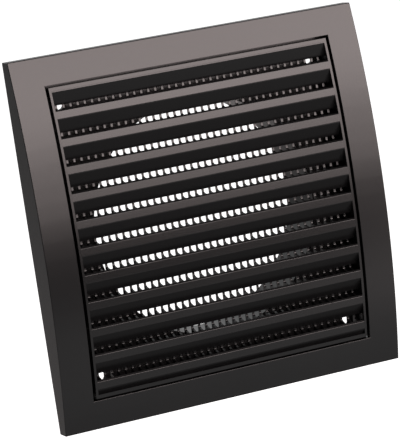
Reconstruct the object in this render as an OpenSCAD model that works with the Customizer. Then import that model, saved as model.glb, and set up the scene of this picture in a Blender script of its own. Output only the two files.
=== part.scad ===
// Square louvred vent grille with a round duct spigot.
// The wall is the plane Y = 0, the bowed face looks along -Y and the spigot
// runs along +Y. The origin is on the duct axis, in the wall plane.

/* [Frame] */
// Side of the square frame
frame_size = 150; // [140:1:200]
// Distance from the wall to the middle of the bowed face
front_depth = 15.1; // [14:0.1:20]
// Distance from the wall to the face at its top and bottom edges
edge_depth = 6.4; // [5:0.1:7.5]
// Thickness of the moulded skin behind the bowed face
skin = 2; // [1.6:0.1:2.4]
// Thickness of the outer side walls
outer_wall = 2; // [1.6:0.1:2.6]
// Thickness of the walls around the recess
recess_wall = 1.5; // [1.2:0.1:2]
// Thickness of the back plate that lies on the wall
back_plate = 2; // [1.5:0.1:2.2]
// Thickness of the stiffening ribs behind the border
rib = 1.4; // [1:0.1:2]

/* [Opening] */
// Width of the border to the left and right of the opening
side_border = 13; // [11:0.5:16]
// Height of the border above and below the opening
end_border = 11.6; // [10:0.1:15]
// How far the opening sits above the middle of the frame
opening_rise = 0.3; // [0:0.05:0.6]

/* [Louvre panel] */
// Clearance between the panel and the recess at each side
side_gap = 1.3; // [0.8:0.1:1.6]
// Clearance between the panel and the recess at the top and bottom
end_gap = 0.95; // [0.5:0.05:1.2]
// How far the panel hangs below the middle of that clearance
panel_sag = 0.15; // [0:0.05:0.3]
// Thickness of the panel's side rails
rail_w = 0.95; // [0.9:0.05:1.6]
// Height of the panel's top and bottom rails
rail_h = 1.8; // [1.4:0.1:2.4]
// Depth of the rails behind the bowed face
panel_depth = 6.8; // [6:0.1:6.9]
// Clearance between the back of the panel and its seat
seat_gap = 0.25; // [0.1:0.05:0.3]

/* [Blades] */
// Distance from one blade to the next
blade_pitch = 10.86; // [9:0.02:13]
// Distance from the top of the panel to the top of the first whole blade
blade_start = 8.65; // [8:0.05:11]
// Height of each blade at the face, with the chamfer above its strip
blade_h = 3.85; // [3.2:0.05:4.4]
// Size of the chamfer along the top of each strip
blade_nose = 0.6; // [0.3:0.05:0.9]
// Slope of the underside of each blade, down towards the wall
blade_slope = 59.5; // [54:0.5:62]
// Distance from the face to where the underside turns level
blade_turn = 3; // [2.4:0.1:3.6]
// Height of the upright back of each blade
blade_tail = 1.3; // [0.8:0.1:1.8]

/* [Insect bars] */
// Distance from one insect bar to the next
bar_pitch = 3.03; // [2.6:0.01:4]
// Width of each insect bar
bar_w = 0.75; // [0.5:0.05:1]
// Depth of each insect bar
bar_t = 0.6; // [0.5:0.05:1]
// Distance from the face to the front of the insect bars
bar_depth = 4.5; // [4.2:0.1:4.9]
// Height of the foot that curves each bar forward to the blade below it
foot_h = 1; // [0.8:0.05:1.6]
// Depth of the curve at the foot of each insect bar
foot_curve = 0.8; // [0.5:0.1:1.2]

/* [Clips] */
// Height of each clip on the panel's side rails
clip_h = 9; // [6:0.5:12]
// Distance of each clip from the middle of the frame
clip_place = 38; // [30:1:44]
// How far each clip reaches into the recess wall
clip_reach = 0.9; // [0.5:0.1:1.1]
// Thickness of each clip at its root
clip_t = 2.2; // [1.6:0.1:2.4]
// Distance from the face to the front of each clip
clip_depth = 3.6; // [3.2:0.1:4]
// Clearance around each clip in its window
clip_gap = 0.4; // [0.3:0.05:0.6]
// Height of the release slot at the foot of each recess side wall
slot_h = 2.4; // [2:0.1:3]

/* [Duct] */
// Inside diameter of the spigot
duct_d = 96.4; // [90:0.2:98]
// Wall thickness of the spigot
spigot_wall = 1.5; // [1.2:0.1:2]
// Length of the spigot behind the wall plane
spigot_len = 23; // [15:0.5:60]
// Length of the lead-in cone on the end of the spigot
lead_in = 1.5; // [1:0.1:3]

/* [Fixing] */
// Distance of each screw hole from the outer faces of the frame
hole_margin = 20; // [19:0.5:21]
// Diameter of the screw holes
hole_d = 4.2; // [3.5:0.1:4.6]

/* [Hidden] */
shade = [0.2, 0.19, 0.19];
fine = 96;
face_fine = 720;
over = 1;

// The face is part of a cylinder that lies along X
bow = front_depth - edge_depth;
face_r = (frame_size * frame_size / 4 + bow * bow) / (2 * bow);
face_axis = face_r - front_depth;
function stand_off(z) = sqrt(face_r * face_r - z * z) - face_axis;

// Opening and recess
open_w = frame_size - 2 * side_border;
open_h = frame_size - 2 * end_border;
open_top = opening_rise + open_h / 2;
open_foot = opening_rise - open_h / 2;
seat_depth = panel_depth + seat_gap;

// Panel
panel_w = open_w - 2 * side_gap;
panel_top = open_top - end_gap - panel_sag;
panel_foot = open_foot + end_gap - panel_sag;
inside_w = panel_w - 2 * rail_w;

// Blades run back into the insect bars, and a half blade lies behind the top rail
blade_depth = bar_depth + bar_t / 2;
blade_foot = -blade_h - blade_turn * tan(blade_slope);
blade_count = floor((panel_top - blade_start - panel_foot - blade_h) / blade_pitch) + 1;
blade_tops = [for (i = [0 : blade_count - 1]) panel_top - blade_start - i * blade_pitch];
half_blade_top = panel_top - blade_start + blade_pitch;

// Insect bars on each side of the middle one
bar_side = floor((inside_w / 2 - bar_w) / bar_pitch);

// Stiffening ribs behind the border stop short of the wall
rib_places = [-frame_size / 4, 0, frame_size / 4];
rib_relief = 1;

// Shapes that are used by both mouldings

// Carries a section in the YZ plane to a bar that is centred on X = 0
module along_x(width) {
    translate([-width / 2, 0, 0])
        rotate([90, 0, 90])
            linear_extrude(height = width)
                children();
}

// Everything that lies deeper than the given depth behind the face
module below_face(depth) {
    translate([face_axis, 0])
        circle(r = face_r - depth, $fn = face_fine);
}

// Section of the bowed block between a depth behind the face and a plane
module bowed_section(depth, back_y, foot, top) {
    intersection() {
        below_face(depth);
        translate([-front_depth - over, foot])
            square([front_depth + over + back_y, top - foot]);
    }
}

// Section of a band that follows the face between two depths
module band_section(front, back, foot, top) {
    difference() {
        bowed_section(front, 0, foot, top);
        below_face(back);
    }
}

// Places a section on the face at each of the given heights, square to the face
module on_face(heights) {
    for (z = heights)
        translate([face_axis, 0])
            rotate(-asin(z / face_r))
                translate([-face_r, 0])
                    children();
}

// Copies a shape to the left and right side, mirrored
module both_sides() {
    children();
    mirror([1, 0, 0]) children();
}

// Louvre panel, one moulding that is pushed into the frame

// Section of one blade, upright at the middle of the face
module blade_outline() {
    polygon([
        [-over, -blade_nose],
        [0, -blade_nose],
        [blade_nose, 0],
        [blade_depth, blade_foot + blade_tail],
        [blade_depth, blade_foot],
        [blade_turn, blade_foot],
        [0, -blade_h],
        [-over, -blade_h]
    ]);
}

// Section of all the blades, each square to the face at its own height
module blade_sections() {
    intersection() {
        bowed_section(0, 0, panel_foot, panel_top);
        on_face(concat([half_blade_top], blade_tops)) blade_outline();
    }
}

module rails() {
    both_sides()
        translate([(panel_w - rail_w) / 2, 0, 0])
            along_x(rail_w)
                band_section(0, panel_depth, panel_foot, panel_top);
    along_x(panel_w - rail_w) {
        band_section(0, panel_depth, panel_top - rail_h, panel_top);
        band_section(0, panel_depth, panel_foot, panel_foot + rail_h);
    }
}

// Section of the foot of an insect bar, from the bar forward to the top of the blade
module foot_outline() {
    polygon([
        [blade_nose, -blade_nose],
        [blade_nose, 0],
        [bar_depth - foot_curve, foot_h / 3],
        [bar_depth, foot_h],
        [blade_depth, foot_h],
        [blade_depth, blade_foot + blade_tail]
    ]);
}

module insect_bars() {
    for (k = [-bar_side : bar_side])
        translate([k * bar_pitch, 0, 0])
            along_x(bar_w) {
                band_section(bar_depth, bar_depth + bar_t, panel_foot + rail_h / 2, panel_top - rail_h / 2);
                on_face(blade_tops) foot_outline();
            }
}

// Wedge that springs into a window of the recess, on the right side rail
module clip() {
    root = panel_w / 2 - rail_w / 2;
    tip = open_w / 2 + clip_reach;
    front = clip_depth - stand_off(clip_place);
    for (side = [-1, 1])
        translate([0, 0, side * clip_place])
            linear_extrude(height = clip_h, center = true)
                polygon([
                    [root, front],
                    [tip, front],
                    [tip, front + clip_t / 3],
                    [panel_w / 2, front + clip_t],
                    [root, front + clip_t]
                ]);
}

module louvre_panel() {
    color(shade) {
        rails();
        along_x(panel_w - rail_w) blade_sections();
        insect_bars();
        both_sides() clip();
    }
}

// Frame, one moulding with the border, the recess, the back plate and the spigot

// Hollow behind the border, open to the wall and crossed by ribs
module border_hollow() {
    hollow = frame_size - 2 * outer_wall;
    difference() {
        along_x(hollow)
            bowed_section(skin, over, -hollow / 2, hollow / 2);
        translate([-open_w / 2 - recess_wall, -front_depth, open_foot - recess_wall])
            cube([open_w + 2 * recess_wall, front_depth + 2 * over, open_h + 2 * recess_wall]);
        for (place = rib_places) {
            translate([place - rib / 2, -front_depth, -frame_size / 2])
                cube([rib, front_depth - rib_relief, frame_size]);
            translate([-frame_size / 2, -front_depth, place - rib / 2])
                cube([frame_size, front_depth - rib_relief, rib]);
        }
    }
}

// Space for the panel, with a ledge left at each side for its rails
module recess() {
    along_x(open_w)
        difference() {
            translate([-front_depth - over, open_foot])
                square([front_depth + over - back_plate, open_h]);
            below_face(seat_depth);
        }
    translate([-inside_w / 2, -front_depth, open_foot])
        cube([inside_w, front_depth - back_plate, open_h]);
}

module clip_window() {
    front = clip_depth - stand_off(clip_place) - clip_gap;
    for (side = [-1, 1])
        translate([open_w / 2 - over, front, side * clip_place - clip_h / 2 - clip_gap])
            cube([recess_wall + 2 * over, clip_t + 2 * clip_gap, clip_h + 2 * clip_gap]);
}

module release_slot() {
    front = skin + clip_gap - stand_off(open_foot);
    translate([inside_w / 2, front, open_foot])
        cube([open_w / 2 - inside_w / 2 + recess_wall + over, -back_plate - front, slot_h]);
}

module screw_holes() {
    place = frame_size / 2 - hole_margin;
    for (x = [-place, place], z = [-place, place])
        translate([x, -back_plate - over, z])
            rotate([-90, 0, 0])
                cylinder(d = hole_d, h = back_plate + 2 * over, $fn = fine);
}

module spigot() {
    rotate([-90, 0, 0]) {
        cylinder(d = duct_d + 2 * spigot_wall, h = spigot_len - lead_in, $fn = fine);
        translate([0, 0, spigot_len - lead_in])
            cylinder(d1 = duct_d + 2 * spigot_wall, d2 = duct_d + spigot_wall, h = lead_in, $fn = fine);
    }
}

module frame() {
    color(shade)
        difference() {
            union() {
                along_x(frame_size)
                    bowed_section(0, 0, -frame_size / 2, frame_size / 2);
                spigot();
            }
            border_hollow();
            recess();
            both_sides() {
                clip_window();
                release_slot();
            }
            screw_holes();
            translate([0, -back_plate - over, 0])
                rotate([-90, 0, 0])
                    cylinder(d = duct_d, h = spigot_len + back_plate + 2 * over, $fn = fine);
        }
}

frame();
louvre_panel();
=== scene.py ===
import math

import bmesh
import bpy
from mathutils import Matrix, Vector


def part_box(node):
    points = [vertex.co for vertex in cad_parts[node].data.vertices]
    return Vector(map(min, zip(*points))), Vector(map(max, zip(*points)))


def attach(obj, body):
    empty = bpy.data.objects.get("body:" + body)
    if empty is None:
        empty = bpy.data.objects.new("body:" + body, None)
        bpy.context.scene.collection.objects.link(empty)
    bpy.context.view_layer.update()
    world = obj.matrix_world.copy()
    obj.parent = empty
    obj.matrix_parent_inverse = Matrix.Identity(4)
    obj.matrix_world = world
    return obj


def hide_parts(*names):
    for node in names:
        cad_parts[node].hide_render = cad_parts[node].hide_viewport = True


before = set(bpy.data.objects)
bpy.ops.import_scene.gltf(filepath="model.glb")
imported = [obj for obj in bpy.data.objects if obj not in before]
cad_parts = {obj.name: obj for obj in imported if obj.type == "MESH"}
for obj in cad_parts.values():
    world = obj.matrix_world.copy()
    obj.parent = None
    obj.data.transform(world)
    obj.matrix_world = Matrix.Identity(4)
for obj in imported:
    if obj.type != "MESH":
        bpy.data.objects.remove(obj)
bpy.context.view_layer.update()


# Vent frame
# The square moulding that lies on the wall, with its bowed border, the recess for the
# louvres, the back plate with four screw holes and the round spigot. It is injection
# moulded in one piece, and the edges in view are slightly round.
mm = 0.001
edge_round = 0.3 * mm
edge_round_segments = 3
merge_distance = 0.001 * mm
flat_within = math.radians(0.4)
sharp_from = math.radians(28)
plastic_roughness = 0.22
roughness_spread = 0.02
darkest_plastic = (0.0064, 0.0064, 0.0067, 1)
palest_plastic = (0.0078, 0.0078, 0.0081, 1)
cloud_scale = 60
grain_scale = 2600
grain_strength = 0.12
grain_depth = 0.02 * mm


def as_data(name, mesh):
    data = bpy.data.meshes.new(name)
    mesh.to_mesh(data)
    mesh.free()
    return data


def add_piece(name, mesh, material, slot, *nodes):
    data = as_data(name, mesh)
    data.materials.append(material)
    piece = bpy.data.objects.new(name, data)
    bpy.context.scene.collection.objects.link(piece)
    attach(piece, "root")
    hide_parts(*nodes)
    return piece


def satin_plastic(name):
    """Near-black plastic with the fine spark-eroded grain that the mould leaves on it."""
    material = bpy.data.materials.new(name)
    material.use_nodes = True
    nodes, links = material.node_tree.nodes, material.node_tree.links
    shader = nodes["Principled BSDF"]
    shader.inputs["Specular IOR Level"].default_value = 0.5
    place = nodes.new("ShaderNodeTexCoord")
    grain = nodes.new("ShaderNodeTexNoise")
    grain.inputs["Scale"].default_value = grain_scale
    grain.inputs["Detail"].default_value = 2
    links.new(place.outputs["Object"], grain.inputs["Vector"])
    clouds = nodes.new("ShaderNodeTexNoise")
    clouds.inputs["Scale"].default_value = cloud_scale
    clouds.inputs["Detail"].default_value = 3
    links.new(place.outputs["Object"], clouds.inputs["Vector"])
    colour = nodes.new("ShaderNodeMix")
    colour.data_type = "RGBA"
    colour.inputs["A"].default_value = darkest_plastic
    colour.inputs["B"].default_value = palest_plastic
    links.new(clouds.outputs["Fac"], colour.inputs["Factor"])
    links.new(colour.outputs["Result"], shader.inputs["Base Color"])
    dullness = nodes.new("ShaderNodeMapRange")
    dullness.inputs["To Min"].default_value = plastic_roughness - roughness_spread
    dullness.inputs["To Max"].default_value = plastic_roughness + roughness_spread
    links.new(grain.outputs["Fac"], dullness.inputs["Value"])
    links.new(dullness.outputs["Result"], shader.inputs["Roughness"])
    bump = nodes.new("ShaderNodeBump")
    bump.inputs["Strength"].default_value = grain_strength
    bump.inputs["Distance"].default_value = grain_depth
    links.new(grain.outputs["Fac"], bump.inputs["Height"])
    links.new(bump.outputs["Normal"], shader.inputs["Normal"])
    return material


frame_plastic = satin_plastic("frame_plastic")
shell = bmesh.new()
shell.from_mesh(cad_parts["frame"].data)
bmesh.ops.remove_doubles(shell, verts=shell.verts, dist=merge_distance)
bmesh.ops.dissolve_limit(shell, angle_limit=flat_within, verts=shell.verts, edges=shell.edges)
frame_low, frame_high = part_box("frame")
front_depth = -frame_low.y
edge_depth = 6.4 * mm
half_side = frame_high.z
bow = front_depth - edge_depth
face_radius = (half_side ** 2 + bow ** 2) / (2 * bow)
face_axis = face_radius - front_depth
slice_height = 3.1 * mm
on_bow_within = 0.06 * mm


def stand_off(height):
    """How far the bowed face stands out from the wall at a height."""
    return math.sqrt(face_radius ** 2 - height ** 2) - face_axis


def is_on_bow(vert, within=on_bow_within):
    return abs(vert.co.y + stand_off(vert.co.z)) < within


def slice_across(mesh, geometry, foot, top):
    """Cuts geometry by level planes, so that it can follow the bow closely."""
    for i in range(math.ceil(foot / slice_height), math.floor(top / slice_height) + 1):
        geometry = bmesh.ops.bisect_plane(
            mesh, geom=geometry, plane_co=(0, 0, i * slice_height), plane_no=(0, 0, 1)
        )["geom"]


bowed = [v for v in shell.verts if is_on_bow(v)]
bowed += [e for e in shell.edges if all(is_on_bow(v) for v in e.verts)]
bowed += [f for f in shell.faces if all(is_on_bow(v) for v in f.verts)]
slice_across(shell, bowed, -half_side, half_side)
for vert in shell.verts:
    if is_on_bow(vert):
        vert.co.y = -stand_off(vert.co.z)
for face in shell.faces:
    face.smooth = True
    face.material_index = 0
recess_foot = -63.1 * mm
recess_top = 63.7 * mm
foot_rim_share = 1
side_rim_share = 0.5
top_rim_share = 0.2


def rim_share(edge):
    """The share of the full rounding on the rim of the opening, which is softest at its foot."""
    middle = (edge.verts[0].co.z + edge.verts[1].co.z) / 2
    if middle < recess_foot + merge_distance:
        return foot_rim_share
    return top_rim_share if middle > recess_top - merge_distance else side_rim_share


def is_on_outline(vert):
    return max(abs(vert.co.x), abs(vert.co.z)) > half_side - merge_distance


rounded = shell.edges.layers.float.new("bevel_weight_edge")
for edge in shell.edges:
    sharp = edge.calc_face_angle() > sharp_from
    on_bow = all(is_on_bow(v, merge_distance) for v in edge.verts)
    on_outline = all(is_on_outline(v) for v in edge.verts)
    at_duct_end = all(v.co.y > frame_high.y - merge_distance for v in edge.verts)
    if sharp and (on_outline or at_duct_end):
        edge[rounded] = 1
    elif sharp and on_bow:
        edge[rounded] = rim_share(edge)
    edge.smooth = edge[rounded] > 0 or not sharp
vent_frame = add_piece("vent_frame", shell, frame_plastic, "frame_plastic", "frame")
rounding = vent_frame.modifiers.new("Rounded edges", "BEVEL")
rounding.width = edge_round
rounding.segments = edge_round_segments
rounding.limit_method = "WEIGHT"
rounding.use_clamp_overlap = False


def keep_flats_flat(piece):
    """Shades the large faces flat and puts the turn of the shading into the roundings."""
    shading = piece.modifiers.new("Even shading", "WEIGHTED_NORMAL")
    shading.weight = 80
    shading.keep_sharp = True


keep_flats_flat(vent_frame)


# Louvre rails
# The ring round the louvres, moulded in one with the blades and pushed into the frame's
# recess. Its front follows the bow of the frame, and a narrow seam is left round it.
panel_half_width = 60.7 * mm
panel_top = 62.6 * mm
panel_foot = -62.3 * mm
rail_width = 0.95 * mm
rail_height = 1.8 * mm
foot_rail_height = 1.5 * mm
rail_depth = 6.8 * mm

louvre_plastic = satin_plastic("louvre_plastic")


def bow_along_face(verts):
    for vert in verts:
        vert.co.y -= stand_off(vert.co.z)


def rectangle_loop(mesh, half_width, foot, top):
    corners = [(-half_width, foot), (half_width, foot), (half_width, top), (-half_width, top)]
    verts = [mesh.verts.new((x, 0, z)) for x, z in corners]
    return [mesh.edges.new((verts[i], verts[(i + 1) % 4])) for i in range(4)]


def extrude(mesh, faces, way):
    """Draws faces out by a vector into a solid."""
    grown = bmesh.ops.extrude_face_region(mesh, geom=faces)["geom"]
    moved = [v for v in grown if isinstance(v, bmesh.types.BMVert)]
    bmesh.ops.translate(mesh, verts=moved, vec=way)


rails = bmesh.new()
outer = rectangle_loop(rails, panel_half_width, panel_foot, panel_top)
inner = rectangle_loop(
    rails, panel_half_width - rail_width, panel_foot + foot_rail_height, panel_top - rail_height
)
ring = bmesh.ops.bridge_loops(rails, edges=outer + inner)["faces"]
extrude(rails, ring, (0, rail_depth, 0))
bmesh.ops.recalc_face_normals(rails, faces=rails.faces)
everything = rails.verts[:] + rails.edges[:] + rails.faces[:]
slice_across(rails, everything, panel_foot, panel_top)
bow_along_face(rails.verts)


# Louvre blades
# Eleven whole blades and a half one behind the top rail. Each has a chamfered nose, shows an
# upright strip at the face and slopes down to a blunt tail nearer the wall.
blade_pitch = 10.89 * mm
blade_start = 8.65 * mm
lip_rise = 0.7 * mm
lip_depth = 0.6 * mm
strip_foot = -3.85 * mm
tail_front = 3 * mm
tail_back = 4.8 * mm
tail_foot = -8.94 * mm
tail_height = 1.3 * mm
foot_round = 0.3 * mm
foot_round_segments = 6
edge_break = 0.12 * mm
edge_break_segments = 3
blade_overlap = 0.02 * mm
inside_half_width = panel_half_width - rail_width
blade_count = 11
first_blade_top = panel_top - blade_start
half_blade_top, *blade_tops = [first_blade_top - i * blade_pitch for i in range(-1, blade_count)]


def onto_face(mesh, verts, height):
    """Moves a shape that was made at the middle of the face up or down along the bow."""
    turn = Matrix.Rotation(-math.asin(height / face_radius), 3, "X")
    bmesh.ops.translate(mesh, verts=verts, vec=(0, -front_depth, 0))
    bmesh.ops.rotate(mesh, verts=verts, cent=(0, face_axis, 0), matrix=turn)


def extruded_section(points, half_width):
    """A closed prism along X with a section of (depth, height) points."""
    mesh = bmesh.new()
    corners = [mesh.verts.new((-half_width, depth, height)) for depth, height in points]
    extrude(mesh, [mesh.faces.new(corners)], (2 * half_width, 0, 0))
    bmesh.ops.recalc_face_normals(mesh, faces=mesh.faces)
    return mesh


def lengthwise(edges):
    """The edges that run along X."""
    return [e for e in edges if abs((e.verts[0].co - e.verts[1].co).normalized().x) > 0.999]


def round_edges(mesh, edges, radius, segments):
    bmesh.ops.bevel(
        mesh,
        geom=edges,
        offset=radius,
        segments=segments,
        profile=0.5,
        affect="EDGES",
        material=-1,
    )


def is_at_strip_foot(vert):
    return vert.co.y == 0 and vert.co.z < strip_foot / 2


def is_sharp(edge):
    return len(edge.link_faces) == 2 and edge.calc_face_angle() > sharp_from


blade_section = [
    (0, -lip_rise),
    (lip_depth, 0),
    (tail_back, tail_foot + tail_height),
    (tail_back, tail_foot),
    (tail_front, tail_foot),
    (0, strip_foot),
]
blade = extruded_section(blade_section, inside_half_width + blade_overlap)
foot_edges = [e for e in lengthwise(blade.edges) if is_at_strip_foot(e.verts[0])]
round_edges(blade, foot_edges, foot_round, foot_round_segments)
other_edges = [e for e in lengthwise(blade.edges) if is_sharp(e)]
round_edges(blade, other_edges, edge_break, edge_break_segments)
blade_data = as_data("blade", blade)
for top in blade_tops:
    before = len(rails.verts)
    rails.from_mesh(blade_data)
    rails.verts.ensure_lookup_table()
    onto_face(rails, rails.verts[before:], top)
half_blade = bmesh.new()
half_blade.from_mesh(blade_data)
onto_face(half_blade, half_blade.verts, half_blade_top)
cut = bmesh.ops.bisect_plane(
    half_blade,
    geom=half_blade.verts[:] + half_blade.edges[:] + half_blade.faces[:],
    plane_co=(0, 0, panel_top - blade_overlap),
    plane_no=(0, 0, 1),
    clear_outer=True,
)["geom_cut"]
cut_edges = [e for e in cut if isinstance(e, bmesh.types.BMEdge)]
bmesh.ops.edgeloop_fill(half_blade, edges=cut_edges)
rails.from_mesh(as_data("half_blade", half_blade))
for face in rails.faces:
    face.smooth = True


def finish_shading(piece):
    piece.data.set_sharp_from_angle(angle=sharp_from)
    keep_flats_flat(piece)


louvre = add_piece("louvre", rails, louvre_plastic, "panel_plastic", "louvre_panel")
finish_shading(louvre)


# Insect bars
# A comb of fine upright bars behind the blades, moulded with them. Each bar curves forward
# at its foot and lands behind the nose of the blade below it.
bar_pitch = 3.03 * mm
bar_width = 0.85 * mm
bar_thickness = 0.6 * mm
bar_depth = 4.5 * mm
bar_back = bar_depth + bar_thickness
bar_head = 3.2 * mm
bars_each_side = 19
foot_height = 0.8 * mm
foot_front = 1.4 * mm
foot_drop = -0.35 * mm
root_foot = -3 * mm
foot_curve = [
    (4.35 * mm, 0.45 * mm),
    (4.0 * mm, 0.2 * mm),
    (3.4 * mm, 0),
    (2.5 * mm, -0.15 * mm),
]
bar_section = [
    (bar_depth, bar_head),
    (bar_depth, foot_height),
    *foot_curve,
    (foot_front, foot_drop),
    (foot_front, root_foot),
    (bar_back, tail_foot + tail_height),
    (bar_back, bar_head),
]
bar_data = as_data("bar", extruded_section(bar_section, bar_width / 2))
bars = bmesh.new()
for top in blade_tops:
    row = len(bars.verts)
    for k in range(-bars_each_side, bars_each_side + 1):
        before = len(bars.verts)
        bars.from_mesh(bar_data)
        bars.verts.ensure_lookup_table()
        bmesh.ops.translate(bars, verts=bars.verts[before:], vec=(k * bar_pitch, 0, 0))
    onto_face(bars, bars.verts[row:], top)
insect_bars = add_piece("insect_bars", bars, louvre_plastic, "panel_plastic", "louvre_panel")
finish_shading(insect_bars)


# Snap clips
# Four small wedges on the side rails, moulded with them. They spring into the windows of the
# frame's recess when the louvres are pushed in, and hold them there.
clip_height = 9 * mm
clip_place = 38 * mm
clip_tip = 62.9 * mm
clip_thickness = 2.2 * mm
clip_front = 3.6 * mm
clip_edge = 0.15 * mm
clip_edge_segments = 2
clip_root = panel_half_width - rail_width / 2
clips = bmesh.new()
for side in (-1, 1):
    for place in (-clip_place, clip_place):
        front = clip_front - stand_off(place)
        section = [
            (clip_root, front),
            (clip_tip, front),
            (clip_tip, front + clip_thickness / 3),
            (panel_half_width, front + clip_thickness),
            (clip_root, front + clip_thickness),
        ]
        base = [clips.verts.new((side * x, y, place - clip_height / 2)) for x, y in section]
        extrude(clips, [clips.faces.new(base)], (0, 0, clip_height))
bmesh.ops.recalc_face_normals(clips, faces=clips.faces)
round_edges(clips, clips.edges[:], clip_edge, clip_edge_segments)
snap_clips = add_piece("snap_clips", clips, louvre_plastic, "panel_plastic", "louvre_panel")
finish_shading(snap_clips)


# Studio
# A pale sheet below and behind the grille, three soft lamps in front of it and a dim room.
# To the camera the sheet and the air both show white.
sheet_drop = 0.12
sheet_half = 6
sheet_front = 0.02
sheet_colour = (0.85, 0.85, 0.85, 1)
floor = bmesh.new()
bmesh.ops.create_grid(floor, x_segments=1, y_segments=1, size=sheet_half)
sheet_place = (0, sheet_front + sheet_half, frame_low.z - sheet_drop)
bmesh.ops.translate(floor, verts=floor.verts, vec=sheet_place)
floor_data = as_data("floor", floor)
floor_object = bpy.data.objects.new("floor", floor_data)
bpy.context.scene.collection.objects.link(floor_object)
paper = bpy.data.materials.new("paper")
paper.use_nodes = True
sheet = paper.node_tree.nodes["Principled BSDF"]
sheet.inputs["Base Color"].default_value = sheet_colour
sheet.inputs["Roughness"].default_value = 0.9
sheet.inputs["Specular IOR Level"].default_value = 0.0
sheet.inputs["Emission Color"].default_value = (1, 1, 1, 1)
seen = paper.node_tree.nodes.new("ShaderNodeLightPath")
paper.node_tree.links.new(seen.outputs["Is Camera Ray"], sheet.inputs["Emission Strength"])
floor_data.materials.append(paper)
lamp_colour = (1.0, 0.865, 0.845)


def soft_lamp(name, place, target, width, height, power):
    data = bpy.data.lights.new(name, "AREA")
    data.shape = "RECTANGLE"
    data.size = width
    data.size_y = height
    data.energy = power
    data.color = lamp_colour
    lamp = bpy.data.objects.new(name, data)
    lamp.location = place
    way = Vector(target) - Vector(place)
    lamp.rotation_euler = way.to_track_quat("-Z", "Y").to_euler()
    bpy.context.scene.collection.objects.link(lamp)


soft_lamp(
    "front_lamp", place=(0.75, -1.8, 0.54), target=(0, 0, 0.54), width=2.6, height=1.36, power=31
)
soft_lamp(
    "upper_lamp", place=(0.8, -1.75, 0.74), target=(0.05, 0, 0.74), width=2.6, height=0.95, power=23
)
soft_lamp(
    "side_lamp", place=(1.5, -1.7, 0), target=(0.5, 0, 0), width=1.2, height=2.2, power=5
)

# Each pair is the height of a direction, from -1 straight down to 1 straight up, and the
# grey of the room there.
room_levels = [
    (-1, 0.13),
    (-0.69, 0.13),
    (-0.57, 0.46),
    (-0.36, 0.46),
    (-0.25, 0.04),
    (0.0, 0.04),
    (0.5, 0.03),
]
# The room turns paler behind the grille, between these two shares of the way to straight back.
paler_from = 0.1
palest_from = 0.5
back_colour = (0.45, 0.45, 0.45, 1)
world = bpy.data.worlds.new("studio")
world.use_nodes = True
bpy.context.scene.world = world
nodes, links = world.node_tree.nodes, world.node_tree.links
room = nodes["Background"]
aim = nodes.new("ShaderNodeTexCoord")
split = nodes.new("ShaderNodeSeparateXYZ")
links.new(aim.outputs["Generated"], split.inputs["Vector"])
elevation = nodes.new("ShaderNodeMapRange")
elevation.inputs["From Min"].default_value = -1
links.new(split.outputs["Z"], elevation.inputs["Value"])
levels = nodes.new("ShaderNodeValToRGB")
links.new(elevation.outputs["Result"], levels.inputs["Fac"])
while len(levels.color_ramp.elements) < len(room_levels):
    levels.color_ramp.elements.new(0.5)
for element, (z, level) in zip(levels.color_ramp.elements, room_levels):
    element.position = (z + 1) / 2
    element.color = (level, level, level, 1)
behind = nodes.new("ShaderNodeMapRange")
behind.inputs["From Min"].default_value = paler_from
behind.inputs["From Max"].default_value = palest_from
links.new(split.outputs["Y"], behind.inputs["Value"])
sides = nodes.new("ShaderNodeMix")
sides.data_type = "RGBA"
sides.inputs["B"].default_value = back_colour
links.new(behind.outputs["Result"], sides.inputs["Factor"])
links.new(levels.outputs["Color"], sides.inputs["A"])
links.new(sides.outputs["Result"], room.inputs["Color"])
white = nodes.new("ShaderNodeBackground")
white.inputs["Color"].default_value = (1, 1, 1, 1)
path = nodes.new("ShaderNodeLightPath")
choice = nodes.new("ShaderNodeMixShader")
links.new(path.outputs["Is Camera Ray"], choice.inputs["Fac"])
links.new(room.outputs["Background"], choice.inputs[1])
links.new(white.outputs["Background"], choice.inputs[2])
links.new(choice.outputs["Shader"], nodes["World Output"].inputs["Surface"])


# Camera
# It looks from the left and slightly above, leaning to one side, as the photograph does.
camera_yaw = math.radians(22.22)
camera_pitch = math.radians(8.08)
camera_roll = math.radians(-8.44)
camera_distance = 1.0561
camera_target = Vector((-0.00187, 0, -0.00133))
focal_pixels = 2607.9
picture_height = 438
sensor_width = 36
back = Vector((
    -math.sin(camera_yaw) * math.cos(camera_pitch),
    -math.cos(camera_yaw) * math.cos(camera_pitch),
    math.sin(camera_pitch),
))
level_right = (-back).cross(Vector((0, 0, 1))).normalized()
level_up = back.cross(level_right)
right = math.cos(camera_roll) * level_right + math.sin(camera_roll) * level_up
up = math.cos(camera_roll) * level_up - math.sin(camera_roll) * level_right
camera_data = bpy.data.cameras.new("camera")
camera_data.sensor_width = sensor_width
camera_data.lens = focal_pixels / picture_height * sensor_width
camera_data.clip_start = 0.05
camera = bpy.data.objects.new("camera", camera_data)
camera.matrix_world = Matrix.Translation(camera_target + camera_distance * back) @ Matrix(
    (right, up, back)
).transposed().to_4x4()
bpy.context.scene.collection.objects.link(camera)
bpy.context.scene.camera = camera
bpy.context.scene.view_settings.view_transform = "Standard"
